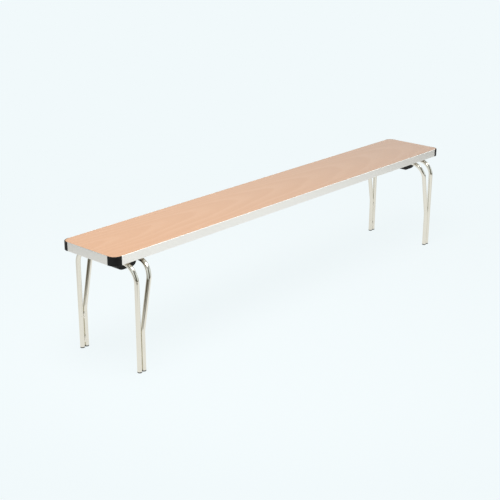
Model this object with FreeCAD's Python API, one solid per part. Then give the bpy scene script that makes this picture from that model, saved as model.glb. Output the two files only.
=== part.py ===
import FreeCAD, Part
import os
from math import ceil, cos, pi, radians, sin, tan

from FreeCAD import Vector

# Stacking bench: a laminated top in edge rails, on two pairs of bent tube hoops.
# The origin is on the floor under the middle of the seat. X runs along the bench,
# Y across it with the front at -Y, and Z is up. All sizes are in millimetres.

# Overall sizes
LENGTH = 1830.0  # top, over its end rails
WIDTH = 254.0  # top, over its side rails
SEAT_HEIGHT = 406.0  # floor to seat

# Layers of the top: a plywood core between two laminates
CORE_THICKNESS = 18.0
LAMINATE_THICKNESS = 0.8
EDGE_GAP = 0.2  # from the layers to the wall around them

# Edge rail section
RAIL_DEPTH = 30.0
RAIL_WALL = 2.0
RAIL_SHELF = 18.0  # shelf under the layers, from the outer face
RAIL_RETURN = 7.0  # lip along the bottom, from the outer face
RAIL_ROUND = 1.6  # rounding of the upper outer edge

# Corner caps
CAP_RADIUS = 30.0
CAP_STRAIGHT = 2.0  # straight run past the rounding
CAP_PROUD = 1.2  # stands out past the rails
CAP_TOP_ROUND = 2.4  # rounding of the upper outer edge
CAP_FOOT_ROUND = 0.9  # rounding of the lower outer edge
CAP_JOINT = 0.2  # gap to the rail ends
SPIGOT_LENGTH = 22.0  # past the cap's end
SPIGOT_ROOT = 6.0  # inside the cap
SPIGOT_FIT = 0.15

# Leg hoops
TUBE_DIAMETER = 16.0
TUBE_WALL = 1.5
BEND_RADIUS = 58.0  # to the centre line
LEG_STANDOFF = 14.0  # side rail face to the leg's centre line
HOOP_DROP = 7.0  # gap from the rail's lower edge down to the tube
OUTER_HOOP_INSET = 76.0  # end rail face to the outer hoop's centre line
HOOP_SPACING = 62.0  # between the two hoops under the top
LEG_GAP = 2.0  # between the two tubes where the legs run together
MEETING_HEIGHT = 140.0  # floor to where the inner hoop's legs reach the outer's
MEETING_BEND = 100.0  # radius of that bend, to the centre line

# Foot glides, pushed into the tube ends
GLIDE_HEAD = 4.0
GLIDE_STEM = 16.0
GLIDE_FIT = 0.1
GLIDE_ROUND = 1.0

# Welds along the paired legs, on the side towards the bench
WELD_RADIUS = 3.4
WELD_SET_IN = 4.4  # bead centre from the legs' common plane
WELD_LENGTH = 24.0
WELD_HEIGHTS = (18.0, 104.0)  # floor to the lower end of each bead

# Saddles above the hoops and clamp blocks below them
BLOCK_LENGTH = 40.0  # along the tubes
BLOCK_SET_IN = 38.0  # middle of the bench to the middle of a block
BLOCK_HEEL = 2.0  # stock past the outer tube
BLOCK_TOE = 8.0  # stock past the inner tube
CLAMP_UNDER_TUBE = 28.0  # stock below the tubes
CLAMP_HEEL_ROUND = 32.0  # rounding of the lower outer end
CLAMP_TOE_ROUND = 20.0  # rounding of the lower inner end
CLAMP_EDGE = 3.0  # rounding of the lower edges
CLAMP_SLIT = 1.0  # between saddle and clamp block
GROOVE_FIT = 0.1
FLANGE_THICKNESS = 4.0  # saddle's foot against the top
FLANGE_MARGIN = 6.0
FLANGE_CORNER = 5.0

# Clamp screws and the threaded inserts that take them
CLAMP_SCREW = 6.0
CLAMP_SCREW_HOLE = 6.6
CLAMP_SCREW_HEAD = 11.0
CLAMP_SCREW_HEAD_HEIGHT = 4.0
CLAMP_SCREW_SPACING = 20.0
SCREW_POCKET = 14.0
SCREW_POCKET_DEPTH = 16.0
SOCKET_ACROSS = 4.6  # corner to corner
SOCKET_DEPTH = 2.4
INSERT_DIAMETER = 9.5
INSERT_LENGTH = 13.0

# Wood screws that hold the rails and caps to the core
WOOD_SCREW = 3.5
WOOD_SCREW_HOLE = 4.0
WOOD_SCREW_HEAD = 7.0
WOOD_SCREW_HEAD_HEIGHT = 2.2
WOOD_SCREW_BITE = 12.0  # length in the layers
WOOD_SCREW_SET_IN = 12.5  # rail's outer face to the screw
CAP_SCREW_SET_IN = 17.0  # both sides of the corner to the cap's screw
DRIVE_SLOT = 0.9
DRIVE_REACH = 3.6
DRIVE_DEPTH = 1.2
SCREW_END = 40.0  # rail end to its first screw
SCREW_PITCH = 245.0  # longest spacing along a rail

# Levels
CORE_TOP = SEAT_HEIGHT - LAMINATE_THICKNESS
CORE_BOTTOM = CORE_TOP - CORE_THICKNESS
UNDERSIDE = CORE_BOTTOM - LAMINATE_THICKNESS
RAIL_BOTTOM = SEAT_HEIGHT - RAIL_DEPTH
SHELF_BOTTOM = UNDERSIDE - RAIL_WALL
TUBE_RADIUS = TUBE_DIAMETER / 2
HOOP_LEVEL = RAIL_BOTTOM - HOOP_DROP - TUBE_RADIUS
CLAMP_BOTTOM = HOOP_LEVEL - TUBE_RADIUS - CLAMP_UNDER_TUBE
SCREW_SEAT = CLAMP_BOTTOM + SCREW_POCKET_DEPTH

# Places
LEG_Y = WIDTH / 2 + LEG_STANDOFF
OUTER_HOOP_X = LENGTH / 2 - OUTER_HOOP_INSET
INNER_HOOP_X = OUTER_HOOP_X - HOOP_SPACING
INNER_FOOT_X = OUTER_HOOP_X - TUBE_DIAMETER - LEG_GAP
BLOCK_X = OUTER_HOOP_X - HOOP_SPACING / 2
BLOCK_OUTWARD = HOOP_SPACING / 2 + TUBE_RADIUS + BLOCK_HEEL
BLOCK_INWARD = HOOP_SPACING / 2 + TUBE_RADIUS + BLOCK_TOE
CAP_CENTRE = CAP_RADIUS - CAP_PROUD  # rounding's centre, from both sides
CAP_LEG = CAP_CENTRE + CAP_STRAIGHT
SIDE_RUN = LENGTH - 2 * (CAP_LEG + CAP_JOINT)
END_RUN = WIDTH - 2 * (CAP_LEG + CAP_JOINT)

RAILS = {
    "front_edge_rail": (SIDE_RUN, WIDTH / 2, 0),
    "right_end_rail": (END_RUN, LENGTH / 2, 90),
    "rear_edge_rail": (SIDE_RUN, WIDTH / 2, 180),
    "left_end_rail": (END_RUN, LENGTH / 2, 270),
}
CORNERS = {
    "left_front": (-1, -1, 0),
    "right_front": (1, -1, 90),
    "right_rear": (1, 1, 180),
    "left_rear": (-1, 1, 270),
}


def placed(shape, x=0.0, y=0.0, turn=0.0):
    """A copy of the shape, turned about Z and then moved."""
    copy = shape.copy()
    copy.rotate(Vector(0, 0, 0), Vector(0, 0, 1), turn)
    copy.translate(Vector(x, y, 0))
    return copy


def rod(x, y, low, high, diameter):
    """An upright cylinder between two levels."""
    return Part.makeCylinder(diameter / 2, high - low, Vector(x, y, low))


def prism(points, along):
    """A polygon of points pushed along a vector."""
    corners = [Vector(*p) for p in points]
    return Part.Face(Part.makePolygon(corners + corners[:1])).extrude(along)


def rounded(shape, radius, wanted):
    """The shape with a fillet on each edge that is wanted."""
    return shape.makeFillet(radius, [e for e in shape.Edges if wanted(e)])


def is_upright(edge):
    return edge.BoundBox.ZLength > max(edge.BoundBox.XLength, edge.BoundBox.YLength)


def spread(run):
    """Screw places along a rail, evenly spaced about its middle."""
    reach = run - 2 * SCREW_END
    count = 1 + ceil(reach / SCREW_PITCH)
    return [-reach / 2 + i * reach / (count - 1) for i in range(count)]


def turned(x, y, turn):
    """A place in plan, turned about the origin."""
    c = cos(radians(turn))
    s = sin(radians(turn))
    return x * c - y * s, x * s + y * c


def rail_screw_places():
    places = []
    for run, face, turn in RAILS.values():
        places += [turned(x, WOOD_SCREW_SET_IN - face, turn) for x in spread(run)]
    return places


def cap_screw_places():
    reach_x = LENGTH / 2 - CAP_SCREW_SET_IN
    reach_y = WIDTH / 2 - CAP_SCREW_SET_IN
    return [(end * reach_x, side * reach_y) for end, side, turn in CORNERS.values()]


def clamp_screw_places():
    places = []
    for end, side, turn in CORNERS.values():
        for step in (-0.5, 0.5):
            places.append((end * BLOCK_X, side * BLOCK_SET_IN + step * CLAMP_SCREW_SPACING))
    return places


# Top: three layers of one outline, drilled from below for screws and inserts
def layer(low, high):
    inset = RAIL_WALL + EDGE_GAP
    size_x = LENGTH - 2 * inset
    size_y = WIDTH - 2 * inset
    slab = Part.makeBox(size_x, size_y, high - low, Vector(-size_x / 2, -size_y / 2, low))
    slab = rounded(slab, CAP_CENTRE - inset, is_upright)
    drills = [rod(x, y, UNDERSIDE, UNDERSIDE + WOOD_SCREW_BITE, WOOD_SCREW)
              for x, y in rail_screw_places() + cap_screw_places()]
    drills += [rod(x, y, UNDERSIDE, CORE_BOTTOM + INSERT_LENGTH, INSERT_DIAMETER)
               for x, y in clamp_screw_places()]
    if low < CORE_TOP:
        slab = slab.cut(Part.makeCompound(drills))
    return slab


# Edge rail: an extrusion with a shelf for the layers and a lip along its bottom
def edge_rail(run, face):
    section = [
        (0, RAIL_BOTTOM),
        (0, SEAT_HEIGHT),
        (RAIL_WALL, SEAT_HEIGHT),
        (RAIL_WALL, UNDERSIDE),
        (RAIL_SHELF, UNDERSIDE),
        (RAIL_SHELF, SHELF_BOTTOM),
        (RAIL_WALL, SHELF_BOTTOM),
        (RAIL_WALL, RAIL_BOTTOM + RAIL_WALL),
        (RAIL_RETURN, RAIL_BOTTOM + RAIL_WALL),
        (RAIL_RETURN, RAIL_BOTTOM),
    ]
    bar = prism([(-run / 2, depth - face, z) for depth, z in section], Vector(run, 0, 0))
    bar = rounded(bar, RAIL_ROUND, lambda e: e.CenterOfMass.z > SEAT_HEIGHT - 1e-6
                  and e.CenterOfMass.y < 1e-6 - face)
    holes = [rod(x, WOOD_SCREW_SET_IN - face, SHELF_BOTTOM, UNDERSIDE, WOOD_SCREW_HOLE) for x in spread(run)]
    return bar.cut(Part.makeCompound(holes))


def corner_band(outside, inside, low, high):
    """Upright band round the corner at the origin, between two depths from the sides."""
    edges = []
    for depth in (outside, inside):
        radius = CAP_CENTRE - depth
        bow = CAP_CENTRE - radius * cos(pi / 4)
        start = Vector(CAP_LEG, depth, low)
        bend_start = Vector(CAP_CENTRE, depth, low)
        bend_end = Vector(depth, CAP_CENTRE, low)
        end = Vector(depth, CAP_LEG, low)
        edges.append([
            Part.makeLine(start, bend_start),
            Part.Arc(bend_start, Vector(bow, bow, low), bend_end).toShape(),
            Part.makeLine(bend_end, end),
        ])
    ends = [Part.makeLine(Vector(CAP_LEG, outside, low), Vector(CAP_LEG, inside, low)),
            Part.makeLine(Vector(outside, CAP_LEG, low), Vector(inside, CAP_LEG, low))]
    outline = Part.Wire(Part.__sortEdges__(edges[0] + edges[1] + ends))
    return Part.Face(outline).extrude(Vector(0, 0, high - low))


# Corner cap: a moulded wall round the corner, with a web under the core
# and two spigots that push into the rails beside it
def corner_cap():
    wall = corner_band(-CAP_PROUD, RAIL_WALL, RAIL_BOTTOM, SEAT_HEIGHT)
    outer = CAP_RADIUS - 1e-3

    def on_outer_rim(edge, level):
        at = edge.CenterOfMass
        is_flat = edge.BoundBox.ZLength < 1e-6 and abs(at.z - level) < 1e-6
        on_straight = min(at.x, at.y) < 1e-6 - CAP_PROUD
        on_bend = edge.Curve.TypeId == "Part::GeomCircle" and edge.Curve.Radius > outer
        return is_flat and (on_straight or on_bend)

    wall = rounded(wall, CAP_TOP_ROUND, lambda e: on_outer_rim(e, SEAT_HEIGHT))
    wall = rounded(wall, CAP_FOOT_ROUND, lambda e: on_outer_rim(e, RAIL_BOTTOM))
    band = corner_band(0, RAIL_RETURN, RAIL_BOTTOM + CAP_FOOT_ROUND, UNDERSIDE)
    web = Part.makeBox(CAP_LEG, CAP_LEG, RAIL_WALL, Vector(0, 0, SHELF_BOTTOM))
    web = rounded(web, CAP_CENTRE, lambda e: is_upright(e) and e.CenterOfMass.x + e.CenterOfMass.y < 1e-6)
    cap = wall.fuse([band, web])
    low = RAIL_BOTTOM + RAIL_WALL + SPIGOT_FIT
    high = SHELF_BOTTOM - SPIGOT_FIT
    depth = RAIL_RETURN - RAIL_WALL - 2 * SPIGOT_FIT
    reach = SPIGOT_ROOT + SPIGOT_LENGTH
    root = CAP_LEG - SPIGOT_ROOT
    along_x = Part.makeBox(reach, depth, high - low, Vector(root, RAIL_WALL + SPIGOT_FIT, low))
    along_y = Part.makeBox(depth, reach, high - low, Vector(RAIL_WALL + SPIGOT_FIT, root, low))
    cap = cap.fuse([along_x, along_y]).removeSplitter()
    return cap.cut(rod(CAP_SCREW_SET_IN, CAP_SCREW_SET_IN, SHELF_BOTTOM, UNDERSIDE, WOOD_SCREW_HOLE))


def leg_path(top_x, foot_x, side):
    """Centre line of half a hoop: points down one leg from its bend, and its bend arcs."""
    fall = Vector(foot_x - top_x, 0, MEETING_HEIGHT - HOOP_LEVEL)
    fall.normalize()
    across = Vector(0, side, 0)
    middle = Vector(top_x, 0, HOOP_LEVEL)
    bend_start = middle + across * (LEG_Y - BEND_RADIUS)
    bend_middle = bend_start + across * (BEND_RADIUS * sin(pi / 4)) + fall * (BEND_RADIUS * (1 - cos(pi / 4)))
    bend_end = bend_start + (across + fall) * BEND_RADIUS
    foot = Vector(foot_x, side * LEG_Y, GLIDE_HEAD)
    edges = [Part.Arc(bend_start, bend_middle, bend_end).toShape()]
    if foot_x == top_x:
        return edges + [Part.makeLine(bend_end, foot)]
    meeting = Vector(foot_x, side * LEG_Y, MEETING_HEIGHT)
    down = Vector(0, 0, -1)
    turn = fall.getAngle(down)
    reach = MEETING_BEND * tan(turn / 2)
    knee_start = meeting - fall * reach
    knee_end = meeting + down * reach
    inward = down - fall
    inward.normalize()
    knee_middle = meeting + inward * (MEETING_BEND / cos(turn / 2) - MEETING_BEND)
    edges.append(Part.makeLine(bend_end, knee_start))
    edges.append(Part.Arc(knee_start, knee_middle, knee_end).toShape())
    edges.append(Part.makeLine(knee_end, foot))
    return edges


# Leg hoop: one tube, bent down at both sides of the bench
def hoop(top_x, foot_x):
    reach = LEG_Y - BEND_RADIUS
    bar = Part.makeLine(Vector(top_x, -reach, HOOP_LEVEL), Vector(top_x, reach, HOOP_LEVEL))
    edges = leg_path(top_x, foot_x, -1) + [bar] + leg_path(top_x, foot_x, 1)
    path = Part.Wire(Part.__sortEdges__(edges))
    start = path.OrderedVertexes[0].Point
    up = Vector(0, 0, 1)
    pipes = []
    for radius in (TUBE_RADIUS, TUBE_RADIUS - TUBE_WALL):
        ring = Part.Wire(Part.makeCircle(radius, start, up))
        pipes.append(path.makePipeShell([ring], True, False))
    tube = pipes[0].cut(pipes[1])
    section = pi * (TUBE_RADIUS ** 2 - (TUBE_RADIUS - TUBE_WALL) ** 2)
    print("hoop length", round(path.Length, 1), "volume over section times length",
          round(tube.Volume / (section * path.Length), 5))
    return tube


# Foot glide: a head under the tube's end and a stem inside it
def glide(x, y):
    head = rod(x, y, 0, GLIDE_HEAD, TUBE_DIAMETER - 2 * GLIDE_FIT)
    head = rounded(head, GLIDE_ROUND, lambda e: e.CenterOfMass.z < 1e-6)
    bore = TUBE_DIAMETER - 2 * TUBE_WALL
    stem = rod(x, y, GLIDE_HEAD, GLIDE_HEAD + GLIDE_STEM, bore - 2 * GLIDE_FIT)
    return head.fuse(stem)


# Weld beads: fill the groove between the two legs of a pair, on the side towards the bench
def weld_beads():
    beads = []
    for end, side, turn in CORNERS.values():
        groove_x = end * (OUTER_HOOP_X + INNER_FOOT_X) / 2
        groove_y = side * (LEG_Y - WELD_SET_IN)
        tubes = [rod(end * x, side * LEG_Y, 0, MEETING_HEIGHT, TUBE_DIAMETER)
                 for x in (OUTER_HOOP_X, INNER_FOOT_X)]
        for low in WELD_HEIGHTS:
            bead = rod(groove_x, groove_y, low, low + WELD_LENGTH, 2 * WELD_RADIUS)
            beads.append(bead.cut(tubes))
    return beads


def tube_grooves():
    """Cutters for the two hoops across a block centred on the origin in plan."""
    radius = TUBE_RADIUS + GROOVE_FIT
    start = -BLOCK_LENGTH
    return [Part.makeCylinder(radius, 2 * BLOCK_LENGTH, Vector(x, start, HOOP_LEVEL), Vector(0, 1, 0))
            for x in (-HOOP_SPACING / 2, HOOP_SPACING / 2)]


def block_screw_holes(low, high, diameter):
    return [rod(0, step * CLAMP_SCREW_SPACING, low, high, diameter) for step in (-0.5, 0.5)]


def block_stock(low, high, margin=0.0):
    """Stock for a block of the left end, between two levels; its outer end is at -X."""
    size_x = BLOCK_OUTWARD + BLOCK_INWARD + 2 * margin
    size_y = BLOCK_LENGTH + 2 * margin
    return Part.makeBox(size_x, size_y, high - low, Vector(-BLOCK_OUTWARD - margin, -size_y / 2, low))


# Saddle: spaces the hoops down from the top, with a flange against the underside
def saddle():
    low = HOOP_LEVEL + CLAMP_SLIT / 2
    body = block_stock(low, UNDERSIDE)
    flange = block_stock(UNDERSIDE - FLANGE_THICKNESS, UNDERSIDE, FLANGE_MARGIN)
    flange = rounded(flange, FLANGE_CORNER, is_upright)
    holes = block_screw_holes(low, UNDERSIDE, CLAMP_SCREW_HOLE)
    return body.fuse(flange).removeSplitter().cut(tube_grooves() + holes)


# Clamp block: holds the hoops up to the saddle; its flat belly rests on a bench below
def clamp_block():
    high = HOOP_LEVEL - CLAMP_SLIT / 2
    body = block_stock(CLAMP_BOTTOM, high)
    body = rounded(body, CLAMP_HEEL_ROUND, lambda e: e.CenterOfMass.z < CLAMP_BOTTOM + 1e-6
                   and e.CenterOfMass.x < 1e-6 - BLOCK_OUTWARD)
    body = rounded(body, CLAMP_TOE_ROUND, lambda e: e.CenterOfMass.z < CLAMP_BOTTOM + 1e-6
                   and e.CenterOfMass.x > BLOCK_INWARD - 1e-6)
    body = rounded(body, CLAMP_EDGE, lambda e: e.CenterOfMass.z < high - 1e-6
                   and abs(e.CenterOfMass.y) > BLOCK_LENGTH / 2 - 1e-6)
    pockets = block_screw_holes(CLAMP_BOTTOM, SCREW_SEAT, SCREW_POCKET)
    holes = block_screw_holes(CLAMP_BOTTOM, high, CLAMP_SCREW_HOLE)
    return body.cut(tube_grooves() + pockets + holes)


# Clamp screw: socket head in the block's pocket, shank up into the insert
def clamp_screw(x, y):
    low = SCREW_SEAT - CLAMP_SCREW_HEAD_HEIGHT
    head = rod(x, y, low, SCREW_SEAT, CLAMP_SCREW_HEAD)
    head = rounded(head, CLAMP_SCREW_HEAD_HEIGHT / 4, lambda e: e.CenterOfMass.z < low + 1e-6)
    shank = rod(x, y, SCREW_SEAT, CORE_BOTTOM + INSERT_LENGTH, CLAMP_SCREW)
    hexagon = [(x + SOCKET_ACROSS / 2 * cos(i * pi / 3), y + SOCKET_ACROSS / 2 * sin(i * pi / 3), low)
               for i in range(6)]
    return head.fuse(shank).cut(prism(hexagon, Vector(0, 0, SOCKET_DEPTH)))


# Threaded insert: a sleeve set in the core
def insert(x, y):
    high = CORE_BOTTOM + INSERT_LENGTH
    return rod(x, y, UNDERSIDE, high, INSERT_DIAMETER).cut(rod(x, y, UNDERSIDE, high, CLAMP_SCREW))


# Wood screw: domed head under a shelf or web, with a cross drive
def wood_screw(x, y):
    low = SHELF_BOTTOM - WOOD_SCREW_HEAD_HEIGHT
    head = rod(x, y, low, SHELF_BOTTOM, WOOD_SCREW_HEAD)
    head = rounded(head, WOOD_SCREW_HEAD_HEIGHT * 0.6, lambda e: e.CenterOfMass.z < low + 1e-6)
    shank = rod(x, y, SHELF_BOTTOM, UNDERSIDE + WOOD_SCREW_BITE, WOOD_SCREW)
    bars = []
    for size_x, size_y in ((DRIVE_REACH, DRIVE_SLOT), (DRIVE_SLOT, DRIVE_REACH)):
        bars.append(Part.makeBox(size_x, size_y, DRIVE_DEPTH, Vector(x - size_x / 2, y - size_y / 2, low)))
    return head.fuse(shank).cut(bars)


def bench():
    """Every node of the bench, by name."""
    nodes = {
        "core_panel": layer(CORE_BOTTOM, CORE_TOP),
        "seat_laminate": layer(CORE_TOP, SEAT_HEIGHT),
        "underside_laminate": layer(UNDERSIDE, CORE_BOTTOM),
    }
    for name, (run, face, turn) in RAILS.items():
        nodes[name] = placed(edge_rail(run, face), turn=turn)
    cap = corner_cap()
    upper = saddle()
    lower = clamp_block()
    for name, (end, side, turn) in CORNERS.items():
        nodes[name + "_corner_cap"] = placed(cap, end * LENGTH / 2, side * WIDTH / 2, turn)
        outward_turn = 180 if end > 0 else 0
        nodes[name + "_saddle"] = placed(upper, end * BLOCK_X, side * BLOCK_SET_IN, outward_turn)
        nodes[name + "_clamp_block"] = placed(lower, end * BLOCK_X, side * BLOCK_SET_IN, outward_turn)
        nodes[name + "_outer_glide"] = glide(end * OUTER_HOOP_X, side * LEG_Y)
        nodes[name + "_inner_glide"] = glide(end * INNER_FOOT_X, side * LEG_Y)
    for name, end in (("left", -1), ("right", 1)):
        nodes[name + "_outer_hoop"] = hoop(end * OUTER_HOOP_X, end * OUTER_HOOP_X)
        nodes[name + "_inner_hoop"] = hoop(end * INNER_HOOP_X, end * INNER_FOOT_X)
    groups = {
        "leg_welds": weld_beads(),
        "clamp_screws": [clamp_screw(x, y) for x, y in clamp_screw_places()],
        "clamp_screw_inserts": [insert(x, y) for x, y in clamp_screw_places()],
        "rail_screws": [wood_screw(x, y) for x, y in rail_screw_places()],
        "corner_cap_screws": [wood_screw(x, y) for x, y in cap_screw_places()],
    }
    for name, solids in groups.items():
        nodes[name] = Part.makeCompound(solids)
    return nodes


os.makedirs("parts", exist_ok=True)
for node, shape in bench().items():
    bad = [s for s in [shape] + shape.Solids if not s.isValid()]
    print(node, len(shape.Solids), "solids", round(shape.Volume), "mm3", "not valid" if bad else "")
    shape.exportStep(os.path.join("parts", node + ".step"))
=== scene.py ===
from math import cos, pi, radians, sin, sqrt, tan

import bmesh
import bpy
from mathutils import Matrix, Vector


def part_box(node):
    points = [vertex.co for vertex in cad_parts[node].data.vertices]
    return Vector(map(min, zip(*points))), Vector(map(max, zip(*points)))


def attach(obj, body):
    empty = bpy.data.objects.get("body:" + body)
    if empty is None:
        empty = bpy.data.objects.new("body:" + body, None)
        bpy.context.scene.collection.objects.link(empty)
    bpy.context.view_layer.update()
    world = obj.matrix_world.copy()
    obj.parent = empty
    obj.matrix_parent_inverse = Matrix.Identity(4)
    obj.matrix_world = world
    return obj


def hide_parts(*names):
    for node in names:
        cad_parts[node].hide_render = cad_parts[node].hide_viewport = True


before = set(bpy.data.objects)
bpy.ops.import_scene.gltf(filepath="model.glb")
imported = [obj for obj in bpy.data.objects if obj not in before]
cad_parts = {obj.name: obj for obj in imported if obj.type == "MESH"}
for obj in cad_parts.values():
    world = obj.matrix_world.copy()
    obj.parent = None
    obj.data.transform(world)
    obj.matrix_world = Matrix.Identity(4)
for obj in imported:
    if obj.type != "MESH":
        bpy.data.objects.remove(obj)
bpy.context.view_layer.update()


# Core panel
# A sheet of birch plywood sawn to the outline of the top, its veneers laid crosswise.
# Laminates are pressed on both faces and the rails close its edges, so it is hidden.
MM = 0.001  # in metres
VENEER = 1.4 * MM
BIRCH_FACE = (0.62, 0.45, 0.28, 1)
BIRCH_END = (0.40, 0.26, 0.15, 1)
BIRCH_FIBRES = (4, 160, 160)  # to a metre along, across and up, as in all patterns below
BIRCH_ROUGHNESS = (0.6, 0.8)
WIDE = (0.2, 0.8)  # the part of a noise's run that a finish spreads over


def new_finish(name):
    """A new material, its node tree and its shader."""
    material = bpy.data.materials.new(name)
    material.use_nodes = True
    tree = material.node_tree
    return material, tree, tree.nodes["Principled BSDF"]


def feed(tree, value, socket):
    """Links an output to a socket, or sets the socket to a plain value."""
    if isinstance(value, bpy.types.NodeSocket):
        tree.links.new(value, socket)
    else:
        socket.default_value = value


def put(tree, kind, sockets, **settings):
    """Adds a shader node with its settings, and feeds its sockets."""
    node = tree.nodes.new("ShaderNode" + kind)
    for name, value in settings.items():
        setattr(node, name, value)
    for name, value in sockets.items():
        feed(tree, value, node.inputs[name])
    return node


def maths(tree, operation, first, second=0.0):
    """One sum on one value or two."""
    return put(tree, "Math", {0: first, 1: second}, operation=operation).outputs[0]


def mean(tree, first, second):
    """The middle of two values."""
    return maths(tree, "MULTIPLY", maths(tree, "ADD", first, second), 0.5)


def ranged(tree, value, low, high, to_low=0.0, to_high=1.0):
    """Takes a value smoothly from one range to another, and keeps it there."""
    spans = {"From Min": low, "From Max": high, "To Min": to_low, "To Max": to_high}
    sockets = {"Value": value, **spans}
    return put(tree, "MapRange", sockets, interpolation_type="SMOOTHSTEP").outputs[0]


def mixed(tree, share, first, second):
    """A colour between two others."""
    return put(tree, "Mix", {0: share, 6: first, 7: second}, data_type="RGBA").outputs[2]


def place(tree, stretch=(1, 1, 1), shift=(0, 0, 0)):
    """The piece's own coordinates in metres, stretched and shifted."""
    source = put(tree, "TexCoord", {}).outputs["Object"]
    return put(tree, "Mapping", {"Vector": source, "Scale": stretch, "Location": shift}).outputs[0]


def noise(tree, vector, scale=1.0, detail=3.0, roughness=0.5):
    """Cloudy noise from about 0.2 to 0.8."""
    sockets = {"Vector": vector, "Scale": scale, "Detail": detail, "Roughness": roughness}
    return put(tree, "TexNoise", sockets).outputs[0]


def finish_nodes(material, *names):
    """Gives CAD nodes that keep their own shape their material."""
    for name in names:
        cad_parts[name].material_slots[0].material = material


plywood, tree, shader = new_finish("birch_plywood")
height = put(tree, "SeparateXYZ", {0: place(tree)}).outputs["Z"]
layer = ranged(tree, maths(tree, "PINGPONG", height, VENEER), 0.3 * VENEER, 0.7 * VENEER)
fibre = noise(tree, place(tree, BIRCH_FIBRES))
grain = mean(tree, layer, fibre)
feed(tree, mixed(tree, grain, BIRCH_END, BIRCH_FACE), shader.inputs["Base Color"])
feed(tree, ranged(tree, fibre, *WIDE, *BIRCH_ROUGHNESS), shader.inputs["Roughness"])
finish_nodes(plywood, "core_panel")


# Seat laminate
# High-pressure laminate under a beech print, its grain along the bench, glued to the core.
# The edge is trimmed with a small bevel, which shows the brown paper layers in the sheet.
CORNER_RADIUS = 26.6 * MM
CORNER_STEPS = 16
TRIM = 0.35 * MM
TRIM_STEPS = 2
UP = Vector((0, 0, 1))
PARALLEL = 0.9  # cosine from which a direction counts as the same
SHARP = 50  # degrees between faces from which an edge counts as sharp
NEAR = 0.01 * MM  # how close counts as touching
BEECH_PALE = (0.785, 0.465, 0.280, 1)
BEECH_MID = (0.755, 0.432, 0.250, 1)
BEECH_DARK = (0.715, 0.394, 0.220, 1)
BEECH_RAY = (0.640, 0.345, 0.195, 1)
BEECH_ROUGHNESS = (0.13, 0.25)
HALF = (0.25, 0.75)  # of a noise's run
MIDDLE = (0.3, 0.7)
MELAMINE_IOR = 1.58
PEBBLES = 900
PEBBLE_DEPTH = 0.008 * MM
RING_SPACING = 17 * MM
RING_DARKENS = (0.0, 0.78)  # the part of a ring over which it does
RING_CLEARS = (1.0, 0.84)
HEART_DEPTH = 60 * MM  # from the cut to the tree's heart, where the arches are
HEART_SLOPE = 0.085  # how fast the cut leaves the heart along the board
HEART_START = 0.70  # from the middle to where the cut comes nearest
WANDER = 130 * MM  # how far the grain strays sideways
WANDER_WAVES = (1.1, 7, 1)
BEECH_FIBRES = (7, 420, 1)
BEECH_CLOUDS = (1.6, 9, 1)
CLOUD_SHIFT = (3, 1, 0)
RING_SHARE = 0.36  # of the tone
FIBRE_SHARE = 0.42
CLOUD_SHARE = 0.30
TONE_TO_MID = (0.19, 0.61)
TONE_TO_DARK = (0.58, 1.12)
RAY_LENGTH = 9 * MM
RAY_WIDTH = 1.1 * MM
RAY_RIM = (0.34, 0.16)  # of its cell, from nothing to the full fleck
RAY_CHANCE = (0.45, 0.9)
RAY_STRENGTH = 0.5
PAPER_PALE = (0.150, 0.075, 0.040, 1)
PAPER_DARK = (0.090, 0.045, 0.024, 1)
PAPER_SHEETS = (30, 30, 6000)
PAPER_ROUGHNESS = (0.5, 0.65)


def start_shape(add, name, **sizes):
    """Adds a primitive with its place and size in its mesh, and opens it for editing."""
    bpy.ops.object.select_all(action="DESELECT")
    add(**sizes)
    bpy.ops.object.transform_apply(location=True, rotation=True, scale=True)
    piece = bpy.context.object
    piece.name = name
    piece.data.name = name
    bpy.ops.object.mode_set(mode="EDIT")
    return piece


def start_block(name, low, high):
    """A block between two corners, open for editing."""
    middle = (Vector(low) + Vector(high)) / 2
    sides = Vector(high) - Vector(low)
    add = bpy.ops.mesh.primitive_cube_add
    return start_shape(add, name, size=1, location=middle, scale=sides)


def pick(kind, wanted):
    """Selects the faces or edges that are wanted, and no others."""
    bpy.ops.mesh.select_mode(type=kind)
    bpy.ops.mesh.select_all(action="DESELECT")
    mesh = bpy.context.edit_object.data
    shape = bmesh.from_edit_mesh(mesh)
    shape.normal_update()
    for item in shape.faces if kind == "FACE" else shape.edges:
        if wanted(item):
            item.select_set(True)
    bmesh.update_edit_mesh(mesh)


def middle_of(edge):
    return (edge.verts[0].co + edge.verts[1].co) / 2


def anywhere(at):
    return True


def pick_edges(direction, wanted=anywhere):
    """Selects the edges that run in a direction, where their middles are wanted."""
    def chosen(edge):
        run = (edge.verts[1].co - edge.verts[0].co).normalized()
        return abs(run.dot(direction)) > PARALLEL and wanted(middle_of(edge))
    pick("EDGE", chosen)


def pick_sharp(wanted=anywhere):
    """Selects the sharp edges, where their middles are wanted."""
    pick("EDGE", lambda edge: edge.calc_face_angle(0) > radians(SHARP) and wanted(middle_of(edge)))


def round_edges(radius, steps, **settings):
    """Rounds the selected edges."""
    bpy.ops.mesh.bevel(offset=radius, segments=steps, affect="EDGES", **settings)


def close(piece):
    """Leaves a piece's mesh after editing."""
    bpy.ops.object.mode_set(mode="OBJECT")
    return piece


def end_shape(piece, smooth_below=35):
    """Shades a piece smooth below an angle; its flat faces stay flat up to their edges."""
    close(piece)
    bpy.ops.object.select_all(action="DESELECT")
    piece.select_set(True)
    bpy.context.view_layer.objects.active = piece
    bpy.ops.object.shade_smooth_by_angle(angle=radians(smooth_below))
    flat_faces = piece.modifiers.new("flat_faces", "WEIGHTED_NORMAL")
    flat_faces.keep_sharp = True
    bpy.ops.object.modifier_apply(modifier=flat_faces.name)


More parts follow.
